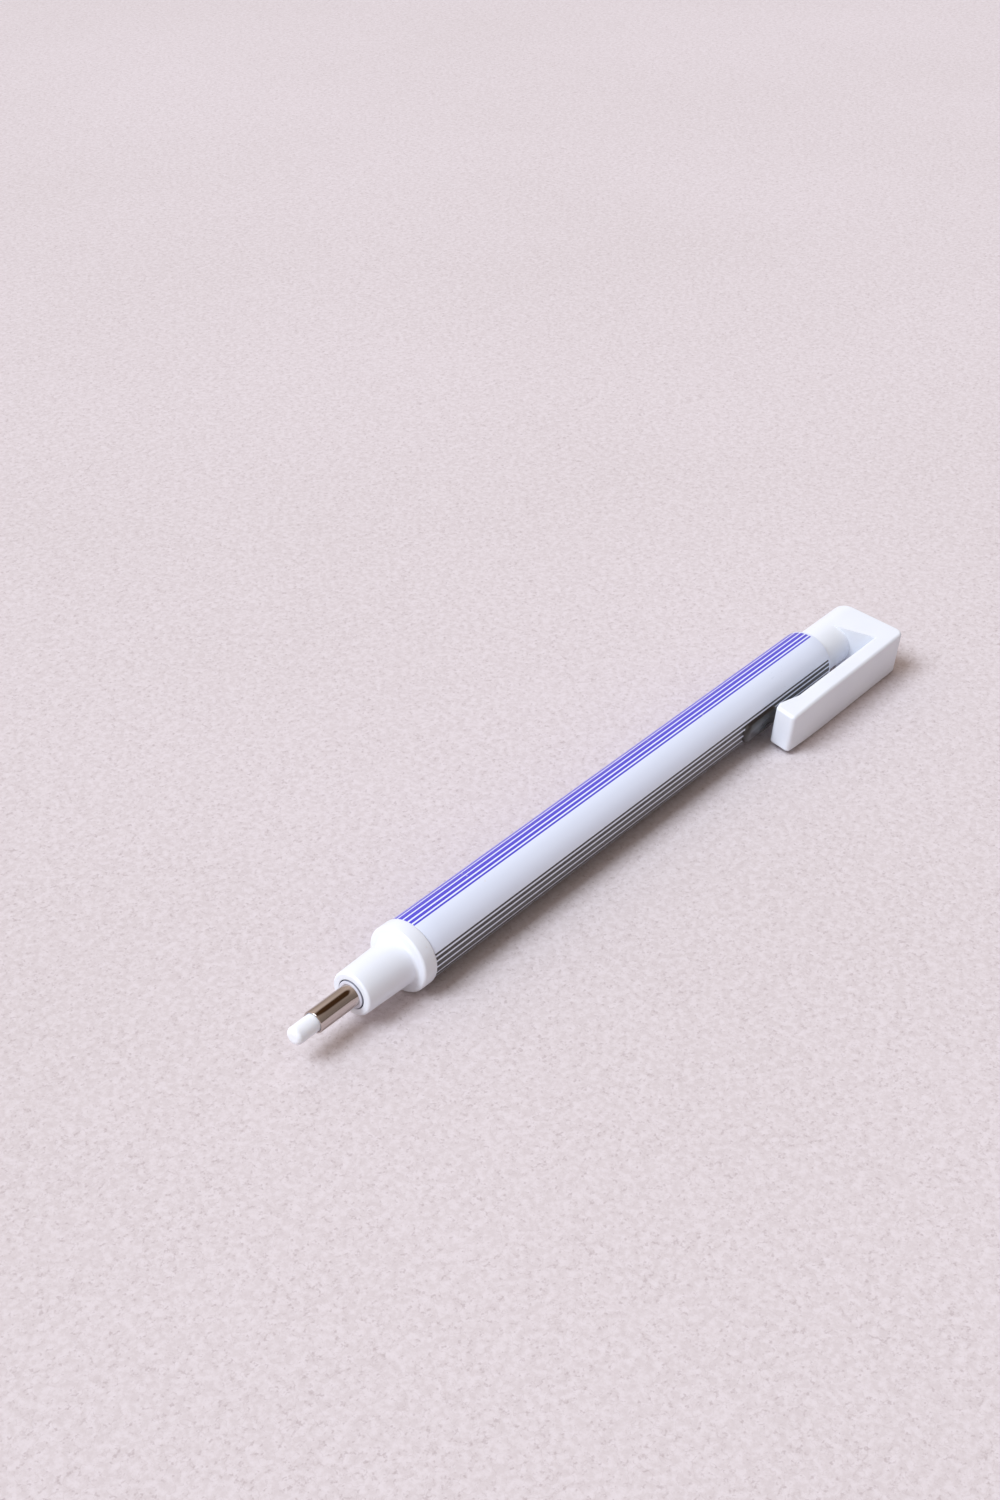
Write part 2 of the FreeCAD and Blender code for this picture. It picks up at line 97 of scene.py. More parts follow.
# Stations and radii in millimetres.
PIPE_RADIUS = 1.43                 # guide pipe outside
PIPE_BORE = 1.2                    # guide pipe inside
PIPE_SHOULDER = 10.5               # where the pipe starts to widen, inside its bush
SHOULDER_END = 10.8                # where it is fully wide
PIPE_REAR = 1.62                   # its wide rear part
REAR_WALL = 0.23                   # wall of that part
BUSH_RADIUS = 1.82                 # pipe bush in the nose's mouth
BUSH_STEP = 12.0                   # where the bush widens
BUSH_BODY = 2.05                   # pipe bush behind the mouth
NOSE_RADIUS = 2.87                 # nose at its face
NOSE_BORE = 1.92                   # mouth of the nose
MOUTH_END = 11.8                   # rear end of that mouth
BUSH_BORE = 2.12                   # the nose's bore for the bush
NOSE_STEP = 18.5                   # where the nose's bore widens
NOSE_CHAMBER = 2.45                # its wide bore
NOSE_ROOT = 3.08                   # nose at the collar
COLLAR_FRONT = 18.5                # front face of the collar
COLLAR_REAR = 20.8                 # its rear face
SPIGOT_RADIUS = 3.6                # spigot behind the collar
SPIGOT_END = 34.0                  # its rear end
BARREL_RADIUS = 4.25               # barrel outside
SLEEVE_BORE = 3.3                  # barrel bore that holds the mechanism sleeve
SLEEVE_END = 54.0                  # rear end of that bore
MIDDLE_BORE = 3.05                 # barrel bore behind the sleeve
KNOCK_BORE_START = 91.5            # where the knock's bore begins
KNOCK_BORE = 3.46                  # barrel bore that guides the knock
KEY_REACH = 3.8                    # floor of the groove for the knock's key
KEY_HALF_WIDTH = 0.62              # how far to each side the bore's points sink into it
PAD_FRONT, PAD_REAR = 84.8, 93.2   # raised oblong pad under the clip's tip
PAD_HALF_WIDTH = 1.45              # half its width, across the clip
PAD_HEIGHT = 0.55                  # how far it stands proud
PAD_RIM = 0.95                     # how wide its rounded rim is
CLIP_FRONT = 89.6                  # front end of the clip

TURNED_SMOOTH = 35                 # degrees: sharper edges of turned pieces stay hard
COPIED_SMOOTH = 28                 # the same for copies of CAD meshes


def ends(node):
    """First and last station of a CAD node, in millimetres."""
    low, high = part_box(node)
    return (low.x - START) / MM, (high.x - START) / MM


def reach(node):
    """Largest radius of a CAD node that is round about the axis, in millimetres."""
    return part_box(node)[1].z / MM


# ---------------------------------------------------------------- shapes


def corner_arc(before, here, after, radius, steps):
    """Points of the arc that rounds the corner at here, between its two neighbours.

    It starts and ends radius * tan(half the turn) from the corner.
    """
    back = (before - here) / np.linalg.norm(before - here)
    on = (after - here) / np.linalg.norm(after - here)
    half = math.acos(np.clip(back @ on, -1, 1)) / 2
    middle = (back + on) / np.linalg.norm(back + on)
    centre = here + middle * radius / math.sin(half)
    sweep = np.linspace(-1, 1, steps + 1) * (math.pi / 2 - half)
    side = on - (on @ middle) * middle
    side = side / np.linalg.norm(side)
    return (centre - radius * np.outer(np.cos(sweep), middle)
            + radius * np.outer(np.sin(sweep), side))


def with_steps(path, limits, closed):
    """The path with more points on each side that is longer than its own limit."""
    after = np.roll(path, -1, axis=0)
    if not closed:
        path, after, limits, end = path[:-1], after[:-1], limits[:-1], path[-1:]
    counts = np.ceil(np.linalg.norm(after - path, axis=1) / limits)
    counts = np.maximum(1, counts).astype(int)
    which = np.repeat(np.arange(len(path)), counts)
    share = np.arange(counts.sum()) - np.repeat(np.cumsum(counts) - counts, counts)
    share = (share / counts[which])[:, None]
    points = path[which] * (1 - share) + after[which] * share
    return points if closed else np.vstack([points, end])


def rounded_path(corners, steps, closed, longest):
    """Points along straight sides whose corners are arcs, with no side's step too long.

    Each corner is (x, y, radius) or (x, y, radius, longest step of the side after it).
    """
    places = np.array([c[:2] for c in corners], float)
    pieces, limits = [], []
    count = len(corners)
    for i, corner in enumerate(corners):
        if corner[2] == 0 or (not closed and i in (0, count - 1)):
            arc = places[i][None]
        else:
            arc = corner_arc(places[i - 1], places[i], places[(i + 1) % count],
                             corner[2], steps)
        pieces.append(arc)
        limits += [longest] * (len(arc) - 1) + [corner[3] if len(corner) > 3 else longest]
    return with_steps(np.vstack(pieces), np.array(limits), closed)


def soften(piece, smooth_angle):
    """Smooth shading, with edges sharper than an angle in degrees kept hard."""
    edit = bmesh.new()
    edit.from_mesh(piece.data)
    bmesh.ops.recalc_face_normals(edit, faces=edit.faces)
    limit = math.radians(smooth_angle)
    for edge in edit.edges:
        edge.smooth = edge.calc_face_angle(0.0) < limit
    for face in edit.faces:
        face.smooth = True
    edit.to_mesh(piece.data)
    edit.free()


def new_piece(name, vertices, faces):
    """A mesh object at the origin, from points in metres and lists of faces."""
    mesh = bpy.data.meshes.new(name)
    mesh.from_pydata(vertices, [], faces)
    piece = bpy.data.objects.new(name, mesh)
    bpy.context.scene.collection.objects.link(piece)
    soften(piece, TURNED_SMOOTH)
    return piece


def turned(name, corners, around, longest, shape=None, steps=5):
    """A closed profile carried round the X axis, in a number of steps around.

    longest is the longest step along a straight side, and steps how many a rounded corner
    takes. A point at angle a is (station, radius cos a, radius sin a). shape may change
    the radii of the whole grid, given its stations, angles and radii. Where the profile
    starts and ends on the axis, its end points are single vertices.
    """
    solid = corners[0][1] == 0
    path = rounded_path(corners, steps, not solid, longest)
    angles = np.linspace(0, 2 * math.pi, around, endpoint=False)
    stations, turns = np.meshgrid(path[:, 0], angles, indexing="ij")
    radii = np.repeat(path[:, 1:2], around, axis=1)
    if shape:
        radii = shape(stations, turns, radii)
    grid = np.stack([START + stations * MM, radii * np.cos(turns) * MM,
                     radii * np.sin(turns) * MM], axis=-1)
    rows = len(path)
    numbers = np.arange(rows * around).reshape(rows, around)
    if solid:
        numbers[0], numbers[-1] = 0, rows * around - 1
    ahead = np.roll(numbers, -1, axis=1)
    below, ahead_below = np.roll(numbers, -1, axis=0), np.roll(ahead, -1, axis=0)
    quads = np.stack([numbers, ahead, ahead_below, below], axis=-1)
    quads = (quads[:-1] if solid else quads).reshape(-1, 4)
    return closed_piece(name, grid.reshape(-1, 3), quads)


def closed_piece(name, vertices, quads):
    """A piece from a grid's quads, less unused points and faces with a repeated point."""
    used, quads = np.unique(quads, return_inverse=True)
    quads = quads.reshape(-1, 4)
    faces = [list(dict.fromkeys(face)) for face in quads.tolist()]
    return new_piece(name, vertices[used].tolist(), [f for f in faces if len(f) > 2])


def smooth_copy(node, name, smooth_angle=COPIED_SMOOTH):
    """A merged copy of a CAD node's mesh with smooth shading."""
    piece = frame["nodes"][node].copy()
    piece.data = frame["nodes"][node].data.copy()
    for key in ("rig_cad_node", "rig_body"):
        if key in piece:
            del piece[key]
    piece.name = name
    piece.data.name = name
    piece.parent = None
    bpy.context.scene.collection.objects.link(piece)
    piece.modifiers.new("flat faces stay flat", "WEIGHTED_NORMAL").keep_sharp = True
    edit = bmesh.new()
    edit.from_mesh(piece.data)
    bmesh.ops.remove_doubles(edit, verts=edit.verts, dist=1e-6)
    edit.to_mesh(piece.data)
    edit.free()
    soften(piece, smooth_angle)
    return piece


# ---------------------------------------------------------------- node trees


class Nodes:
    """A few short calls over a node tree, whose textures are sampled at one place."""

    def __init__(self, tree, coordinates="Object"):
        self.tree = tree
        self.place = self.put("ShaderNodeTexCoord").outputs[coordinates]

    def put(self, kind, **settings):
        node = self.tree.nodes.new(kind)
        for key, value in settings.items():
            setattr(node, key, value)
        return node

    def link(self, source, target):
        """Feeds a socket from another one, or sets it to a plain value."""
        if hasattr(source, "links"):
            self.tree.links.new(source, target)
        else:
            target.default_value = source

    def parts(self, vector):
        """The outputs X, Y and Z of a vector."""
        node = self.put("ShaderNodeSeparateXYZ")
        self.link(vector, node.inputs["Vector"])
        return node.outputs

    def maths(self, operation, *values):
        node = self.put("ShaderNodeMath", operation=operation)
        for socket, value in zip(node.inputs, values):
            self.link(value, socket)
        return node.outputs[0]

    def noise(self, scale, detail, roughness=0.5, stretch=None, offset=0.0):
        """A cloudy texture, whose features grow as stretch shrinks."""
        node = self.put("ShaderNodeTexNoise")
        node.inputs["Scale"].default_value = scale
        node.inputs["Detail"].default_value = detail
        node.inputs["Roughness"].default_value = roughness
        place = self.place
        if stretch or offset:
            mapping = self.put("ShaderNodeMapping")
            mapping.inputs["Scale"].default_value = stretch or (1.0, 1.0, 1.0)
            mapping.inputs["Location"].default_value[0] = offset
            self.link(place, mapping.inputs["Vector"])
            place = mapping.outputs["Vector"]
        self.link(place, node.inputs["Vector"])
        return node.outputs["Fac"]

    def spread(self, value, low, high, to_low=0.0, to_high=1.0):
        """Carries low to to_low and high to to_high, and stays level outside them."""
        node = self.put("ShaderNodeMapRange")
        for socket, number in zip(node.inputs[1:5], (low, high, to_low, to_high)):
            socket.default_value = number
        self.link(value, node.inputs["Value"])
        return node.outputs["Result"]

    def mixed(self, share, first, second):
        """The first colour, with a share of the second one."""
        node = self.put("ShaderNodeMix", data_type="RGBA")
        self.link(share, node.inputs["Factor"])
        self.link(first, node.inputs["A"])
        self.link(second, node.inputs["B"])
        return node.outputs["Result"]

    def effect(self, group, **given):
        """The amount that a node group gives."""
        node = self.put("ShaderNodeGroup", node_tree=group)
        for label, value in given.items():
            self.link(value, node.inputs[label])
        return node.outputs["Amount"]

    def from_axis(self):
        """Distance from the pen's axis: the root of y squared plus z squared."""
        place = self.parts(self.place)
        across = self.maths("POWER", place["Y"], 2.0)
        upright = self.maths("POWER", place["Z"], 2.0)
        return self.maths("SQRT", self.maths("ADD", across, upright))


class Effect(Nodes):
    """A node group of those calls, with numbers given by label and one as its result."""

    def __init__(self, name, *labels):
        super().__init__(bpy.data.node_groups.new(name, "ShaderNodeTree"))
        for label, way in [*((label, "INPUT") for label in labels), ("Amount", "OUTPUT")]:
            self.tree.interface.new_socket(label, in_out=way, socket_type="NodeSocketFloat")
        self.given = self.put("NodeGroupInput").outputs

    def give(self, value):
        self.link(value, self.put("NodeGroupOutput").inputs["Amount"])
        return self.tree


class Finish(Nodes):
    """A material made with those calls."""

    def __init__(self, name):
        self.material = bpy.data.materials.new(name)
        self.material.use_nodes = True
        super().__init__(self.material.node_tree)
        self.shader = self.tree.nodes["Principled BSDF"]

    def shade(self, values):
        """Feeds the shader's inputs, which go by their labels."""
        for label, value in values.items():
            self.link(value, self.shader.inputs[label])

    def glow(self, weight, radius):
        """Light that goes in and comes out again, by a radius in metres per colour."""
        self.shade({"Subsurface Weight": weight, "Subsurface Radius": radius,
                    "Subsurface Scale": 0.5})

    def dusted(self, clean):
        """A colour with half its dust showing."""
        return self.mixed(self.maths("MULTIPLY", self.effect(DUST), 0.5), clean, PAPER_DUST)

    def bump(self, value, distance, strength):
        node = self.put("ShaderNodeBump")
        node.inputs["Strength"].default_value = strength
        node.inputs["Distance"].default_value = distance
        self.link(value, node.inputs["Height"])
        self.shade({"Normal": node.outputs["Normal"]})


def moulded_grain():
    """Height of a fine sparked grain with a few wider dimples, from 0 to 1."""
    e = Effect("moulded_grain")
    fine, wide = e.noise(3200.0, 3.0, 0.7), e.noise(700.0, 2.0)
    return e.give(e.maths("ADD", e.maths("MULTIPLY", fine, 0.6),
                          e.maths("MULTIPLY", wide, 0.4)))


def handled_gloss():
    """Roughness about a given mean: smears of handling make it 0.85 to 1.25 times that."""
    e = Effect("handled_gloss", "Mean")
    smears = e.noise(260.0, 4.0, 0.65, stretch=(0.35, 1.0, 1.0))
    return e.give(e.maths("MULTIPLY", e.spread(smears, 0.3, 0.7, 0.85, 1.25),
                          e.given["Mean"]))


def settled_dust():
    """Sparse specks of paper dust, only where the surface faces up, from 0 to 1."""
    e = Effect("settled_dust")
    cells = e.put("ShaderNodeTexVoronoi", feature="F1")
    cells.inputs["Scale"].default_value = 900.0
    e.link(e.place, cells.inputs["Vector"])
    specks = e.spread(cells.outputs["Distance"], 0.08, 0.16, 1.0, 0.0)
    sparse = e.spread(e.noise(330.0, 2.0), 0.58, 0.66)
    normal = e.parts(e.put("ShaderNodeNewGeometry").outputs["Normal"])
    facing_up = e.spread(normal["Z"], 0.35, 0.8)
    return e.give(e.maths("MULTIPLY", e.maths("MULTIPLY", specks, sparse), facing_up))


def painted_joint_shade():
    """1 in a thin ring about the pen's axis, at a given radius: painted shade in the gap of a
    joint.

    It fades to 0 a given reach away from that radius, to both sides.
    """
    e = Effect("painted_joint_shade", "Radius", "Reach")
    apart = e.maths("ABSOLUTE", e.maths("SUBTRACT", e.from_axis(), e.given["Radius"]))
    faded = e.maths("SMOOTH_MIN", 1.0, e.maths("DIVIDE", apart, e.given["Reach"]), 0.2)
    return e.give(e.maths("SUBTRACT", 1.0, faded))


def colour(red, green, blue):
    """A linear colour from 0 to 255 screen values."""
    screen = np.array([red, green, blue]) / 255
    linear = np.where(screen <= 0.04045, screen / 12.92, ((screen + 0.055) / 1.055) ** 2.4)
    return (*linear.tolist(), 1.0)


# ---------------------------------------------------------------- materials

GRAIN, GLOSS, DUST, JOINT_SHADE_RING = moulded_grain(), handled_gloss(), settled_dust(), painted_joint_shade()
PAPER_DUST = colour(222, 216, 216)
# Painted shade in the gaps of joints: its colour, and how far it reaches to each side.
JOINT_SHADE_TINT = colour(70, 72, 92)
JOINT_SHADE_REACH = 0.045 * MM
GRAIN_HEIGHT = 0.01 * MM


def moulded_plastic(name, tint, drifted, roughness, grain=1.0, glow=0.0, metal=0.0,
                    joint=0.0):
    """Moulded or turned stock: a faint drift of tint, smears of gloss, grain and dust.

    joint is the radius, in millimetres, of a joint whose gap gets a thin ring of painted
    shade.
    """
    n = Finish(name)
    clean = n.mixed(n.spread(n.noise(90.0, 2.0), 0.35, 0.65), tint, drifted)
    if joint:
        # Painted shade: darkens the colour in a thin ring at the joint's gap.
        joint_shade = n.effect(JOINT_SHADE_RING, Radius=joint * MM, Reach=JOINT_SHADE_REACH)
        clean = n.mixed(n.maths("MULTIPLY", joint_shade, 0.7), clean, JOINT_SHADE_TINT)
    n.shade({"Base Color": n.dusted(clean), "Roughness": n.effect(GLOSS, Mean=roughness),
             "Metallic": metal})
    n.glow(glow, (0.0012, 0.0011, 0.001))
    n.bump(n.effect(GRAIN), GRAIN_HEIGHT * grain, 0.5)
    return n.material


def polished_pipe():
    """Drawn steel: fine lengthwise drawing lines and smears of gloss."""
    n = Finish("drawn_steel")
    lines = n.noise(1100.0, 3.0, 0.6, stretch=(0.04, 1.0, 1.0))
    tint = n.mixed(n.spread(lines, 0.3, 0.7), colour(208, 198, 194), colour(172, 160, 154))
    n.shade({"Base Color": tint, "Roughness": n.effect(GLOSS, Mean=0.09), "Metallic": 1.0})
    n.bump(lines, 0.003 * MM, 0.5)
    return n.material


def soft_vinyl():
    """Eraser vinyl: matte and slightly translucent, scuffed and a little grey at its tip."""
    n = Finish("eraser_vinyl")
    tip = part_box("eraser_core")[0].x
    at_tip = n.spread(n.parts(n.place)["X"], tip, tip + 1.4 * MM, 1.0, 0.0)
    scuffs = n.spread(n.noise(1500.0, 4.0, 0.7), 0.52, 0.68, 0.0, 0.35)
    clean = n.mixed(n.noise(200.0, 2.0), colour(236, 239, 246), colour(230, 233, 241))
    n.shade({
        "Base Color": n.mixed(n.maths("MULTIPLY", at_tip, scuffs), clean,
                              colour(200, 196, 196)),
        "Roughness": n.effect(GLOSS, Mean=0.62)})
    n.glow(0.3, (0.001, 0.0009, 0.0008))
    n.bump(n.noise(1800.0, 4.0, 0.7), 0.03 * MM, 0.7)
    return n.material


# The printed lines, in degrees round the barrel from the middle of its pale field, the
# same to both sides: (middle, half width) of three that grow, then a regular row.
FIELD_MIDDLE = 56.25               # above the clip's direction
GROWING_LINES = [(30.6, 1.7), (38.2, 2.9), (48.2, 4.1)]
ROW_START, ROW_PITCH, ROW_HALF, ROW_END = 53.8, 13.6, 5.3, 176.0
INK_EDGE = 0.2                     # a line fades over this angle, to both sides of its edge
BARE_REAR = 0.5                    # millimetres at the barrel's rear that have no lines
PAD_INK = 4.28, 4.34               # radii between which the pad's dark ink sets in


def line(n, away, half_width):
    """1 on a line and 0 off it, from the angle away from its middle."""
    return n.spread(away, half_width - INK_EDGE, half_width + INK_EDGE, 1.0, 0.0)


def printed_lines(n, away):
    """1 on the printed lines, from the angle away from the pale field's middle."""
    covered = 0.0
    for middle, half_width in GROWING_LINES:
        off = n.maths("ABSOLUTE", n.maths("SUBTRACT", away, middle))
        covered = n.maths("MAXIMUM", covered, line(n, off, half_width))
    place = n.maths("SUBTRACT", away, ROW_START + ROW_PITCH / 2)
    row = n.maths("ABSOLUTE", n.maths("WRAP", place, ROW_PITCH / 2, -ROW_PITCH / 2))
    inside = n.maths("MULTIPLY", n.maths("GREATER_THAN", away, ROW_START),
                     n.maths("LESS_THAN", away, ROW_END))
    return n.maths("MAXIMUM", covered, n.maths("MULTIPLY", line(n, row, ROW_HALF), inside))


def printed_barrel():
    """The barrel's pale plastic with printed lines, blue above its pale field, dark below.

    The angle about the axis is counted from the clip's direction, and then from the
    field's middle. The raised pad is printed dark all over.
    """
    n = Finish("printed_barrel")
    place = n.parts(n.place)
    turn = n.maths("ARCTAN2", place["Z"], place["Y"])
    from_clip = n.maths("ADD", n.maths("MULTIPLY", turn, -180 / math.pi),
                        180.0 + math.degrees(CLIP_ROLL))
    angle = n.maths("WRAP", n.maths("SUBTRACT", from_clip, FIELD_MIDDLE), 180.0, -180.0)
    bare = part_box("barrel")[1].x - BARE_REAR * MM
    lined = n.spread(place["X"], bare - 0.05 * MM, bare + 0.05 * MM, 1.0, 0.0)
    lines = n.maths("MULTIPLY", printed_lines(n, n.maths("ABSOLUTE", angle)), lined)
    on_pad = n.spread(n.from_axis(), PAD_INK[0] * MM, PAD_INK[1] * MM)
    drift = n.noise(60.0, 2.0)
    pale = n.mixed(drift, colour(229, 236, 253), colour(223, 231, 250))
    blue_ink = n.mixed(drift, colour(66, 56, 200), colour(74, 66, 208))
    dark_ink = n.mixed(drift, colour(30, 26, 26), colour(38, 33, 33))
    ink = n.mixed(n.maths("GREATER_THAN", angle, 0.0), dark_ink, blue_ink)
    inked = n.mixed(on_pad, n.mixed(lines, pale, ink), dark_ink)
    n.shade({"Base Color": n.dusted(inked), "Roughness": n.effect(GLOSS, Mean=0.3),
             "Coat Weight": 0.4, "Coat Roughness": 0.1})
    raised = n.maths("ADD", n.maths("MULTIPLY", n.maths("MAXIMUM", lines, on_pad), 0.6),
                     n.maths("MULTIPLY", n.effect(GRAIN), 0.25))
    n.bump(raised, GRAIN_HEIGHT, 0.6)
    return n.material


def table_paper():
    """Pale pinkish uncoated paper: clouds, a fine mottle, dark and light flecks, a tooth."""
    n = Finish("table_paper")
    cloud = n.spread(n.noise(12.0, 3.0), 0.3, 0.7)
    mottle = n.noise(1100.0, 3.0, 0.7)
    flecks = n.noise(1900.0, 2.0, 0.6, offset=3.0)
    threads = n.maths("ABSOLUTE", n.maths("SUBTRACT", n.noise(520.0, 2.0, offset=7.0), 0.5))
    sheet = n.mixed(cloud, colour(212, 203, 206), colour(208, 199, 201))
    for texture, low, high, most, tint in (
        (mottle, 0.42, 0.72, 0.5, colour(194, 183, 185)),
        (mottle, 0.55, 0.3, 0.5, colour(222, 214, 219)),
        (flecks, 0.58, 0.72, 0.5, colour(168, 154, 156)),
        (threads, 0.014, 0.0, 0.2, colour(160, 144, 144)),
    ):
        sheet = n.mixed(n.spread(texture, low, high, 0.0, most), sheet, tint)
    n.shade({"Base Color": sheet, "Roughness": 0.95, "Specular IOR Level": 0.2})
    n.bump(n.maths("SUBTRACT", mottle, n.maths("MULTIPLY", flecks, 0.5)), 0.05 * MM, 0.5)
    return n.material


WHITE_TINTS = colour(233, 237, 245), colour(228, 232, 242)
white = moulded_plastic("satin_white", *WHITE_TINTS, 0.4, glow=0.1)
nose_white = moulded_plastic("nose_white", *WHITE_TINTS, 0.4, glow=0.1, joint=NOSE_BORE)
grey = moulded_plastic("bush_grey", colour(214, 215, 226), colour(206, 207, 220), 0.42,
                       joint=BUSH_RADIUS)
natural = moulded_plastic("natural_acetal", colour(226, 225, 218), colour(216, 215, 208), 0.45)
milky = moulded_plastic("milky_tube", colour(228, 230, 234), colour(220, 222, 228), 0.35,
                        glow=0.1)
rubber = moulded_plastic("soft_rubber", colour(58, 58, 60), colour(48, 48, 50), 0.7, grain=3)
brass = moulded_plastic("turned_brass", colour(212, 176, 104), colour(198, 162, 92), 0.25,
                        metal=1.0)
wire = moulded_plastic("spring_wire", colour(178, 178, 182), colour(160, 160, 166), 0.28,
                       metal=1.0)
steel = polished_pipe()
vinyl = soft_vinyl()
print_coat = printed_barrel()


# ---------------------------------------------------------------- pieces


def stands_for(piece, node, body, material):
    """Declares a piece: what it replaces, what it rides on and its finish."""
    piece.data.materials.clear()
    piece.data.materials.append(material)
    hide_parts(node)
    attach(piece, body)


def eraser_piece():
    """The eraser: a rod whose tip is rubbed round, and slightly out of round."""
    first, last = ends("eraser_core")
    radius = reach("eraser_core")
    straight, rubbed_length, rubbed_share = 2.5, 1.8, 0.02
    corners = [(first, 0, 0, 0.06), (first, radius, 0.62, 0.1),
               (first + straight, radius, 0), (last, radius, 0.05), (last, 0, 0)]

    def rubbed(stations, turns, radii):
        """Takes off up to 2% in two lobes, less and less over the first 1.8 mm."""
        near = np.clip(1 - (stations - first) / rubbed_length, 0, 1)
        lobes = 0.5 + 0.3 * np.cos(turns - 0.6) + 0.2 * np.cos(2 * turns + 1.1)
        return radii * (1 - rubbed_share * near * lobes)

    return turned("eraser_stick", corners, around=96, longest=1.5, shape=rubbed, steps=10)


def pipe_piece():
    """The steel pipe: a thin wall with rounded lips, drawn wider inside its bush."""
    first, last = ends("guide_pipe")
    wide = reach("guide_pipe")
    corners = [(first, PIPE_BORE, 0.09), (first, PIPE_RADIUS, 0.11),
               (PIPE_SHOULDER, PIPE_RADIUS, 0), (SHOULDER_END, wide, 0), (last, wide, 0),
               (last, wide - REAR_WALL, 0), (SHOULDER_END, wide - REAR_WALL, 0),
               (PIPE_SHOULDER, PIPE_BORE, 0)]
    return turned("steel_pipe", corners, around=128, longest=1.5)


def bush_piece():
    """The ring in the nose's mouth, its wider body and its flange behind."""
    first, last = ends("pipe_bush")
    flange = reach("pipe_bush")
    corners = [(first, PIPE_RADIUS, 0.03), (first, BUSH_RADIUS, 0.12),
               (BUSH_STEP, BUSH_RADIUS, 0), (BUSH_STEP, BUSH_BODY, 0),
               (NOSE_STEP, BUSH_BODY, 0), (NOSE_STEP, flange, 0), (last, flange, 0),
               (last, PIPE_REAR, 0), (SHOULDER_END, PIPE_REAR, 0),
               (PIPE_SHOULDER, PIPE_RADIUS, 0)]
    return turned("mouth_ring", corners, around=128, longest=1.5)


def nose_piece():
    """The tapered nose, its hollowed root, the rounded collar and the spigot behind.

    The spigot ends a hair short of where the clutch ring stops against it.
    """
    hair = 0.02
    first, last = ends("nose_cone")
    last = last - hair
    collar = reach("nose_cone")
    corners = [(first, NOSE_BORE, 0.1), (first, NOSE_RADIUS, 0.33),
               (COLLAR_FRONT, NOSE_ROOT, 0.4), (COLLAR_FRONT, collar, 0.36),
               (COLLAR_REAR, collar, 0.3), (COLLAR_REAR, SPIGOT_RADIUS, 0),
               (last, SPIGOT_RADIUS, 0), (last, NOSE_CHAMBER, 0),
               (NOSE_STEP, NOSE_CHAMBER, 0), (NOSE_STEP, BUSH_BORE, 0),
               (MOUTH_END, BUSH_BORE, 0), (MOUTH_END, NOSE_BORE, 0)]
    return turned("nose", corners, around=192, longest=1.2, steps=7)


def pad_and_groove(stations, turns, radii):
    """Lifts the barrel's skin to an oblong pad, and sinks a groove in the knock's bore.

    The pad's rim is a quarter of an ellipse in section. The groove's floor is flat, and
    runs forwards to where the knock's bore begins.
    """
    off = (turns - CLIP_ROLL) % (2 * math.pi) - math.pi    # angle from the clip's direction
    clip_side = np.cos(off) > 0.5
    level = np.maximum(np.cos(off), 0.5)
    across = BARREL_RADIUS * np.sin(off)
    middle, half_long = (PAD_FRONT + PAD_REAR) / 2, (PAD_REAR - PAD_FRONT) / 2
    along = np.maximum(np.abs(stations - middle) - (half_long - PAD_HALF_WIDTH), 0)
    depth = np.clip((PAD_HALF_WIDTH - np.hypot(along, across)) / PAD_RIM, 0, 1)
    on_skin = radii > BARREL_RADIUS - 0.01
    rise = np.where(on_skin & clip_side, np.sqrt(1 - (1 - depth) ** 2), 0)
    top = (BARREL_RADIUS + PAD_HEIGHT) / level
    on_bore = (stations > KNOCK_BORE_START - 0.1) & (np.abs(radii - KNOCK_BORE) < 0.1)
    in_groove = np.abs(KNOCK_BORE * np.sin(off)) < KEY_HALF_WIDTH
    inner = np.where(on_bore & clip_side & in_groove, KEY_REACH / level, radii)
    return inner + (top - radii) * rise


def barrel_piece():
    """The barrel's tube with the oblong pad raised where the clip's tip comes down."""
    first, last = ends("barrel")
    margin, fine_step = 0.3, 0.1
    corners = [(first, SPIGOT_RADIUS, 0), (first, BARREL_RADIUS, 0.1),
               (PAD_FRONT - margin, BARREL_RADIUS, 0, fine_step),
               (PAD_REAR + margin, BARREL_RADIUS, 0), (last, BARREL_RADIUS, 0.22),
               (last, KNOCK_BORE, 0.08), (KNOCK_BORE_START, KNOCK_BORE, 0),
               (KNOCK_BORE_START, MIDDLE_BORE, 0), (SLEEVE_END, MIDDLE_BORE, 0),
               (SLEEVE_END, SLEEVE_BORE, 0), (SPIGOT_END, SLEEVE_BORE, 0),
               (SPIGOT_END, SPIGOT_RADIUS, 0)]
    return turned("barrel_tube", corners, around=320, longest=2.5, shape=pad_and_groove)


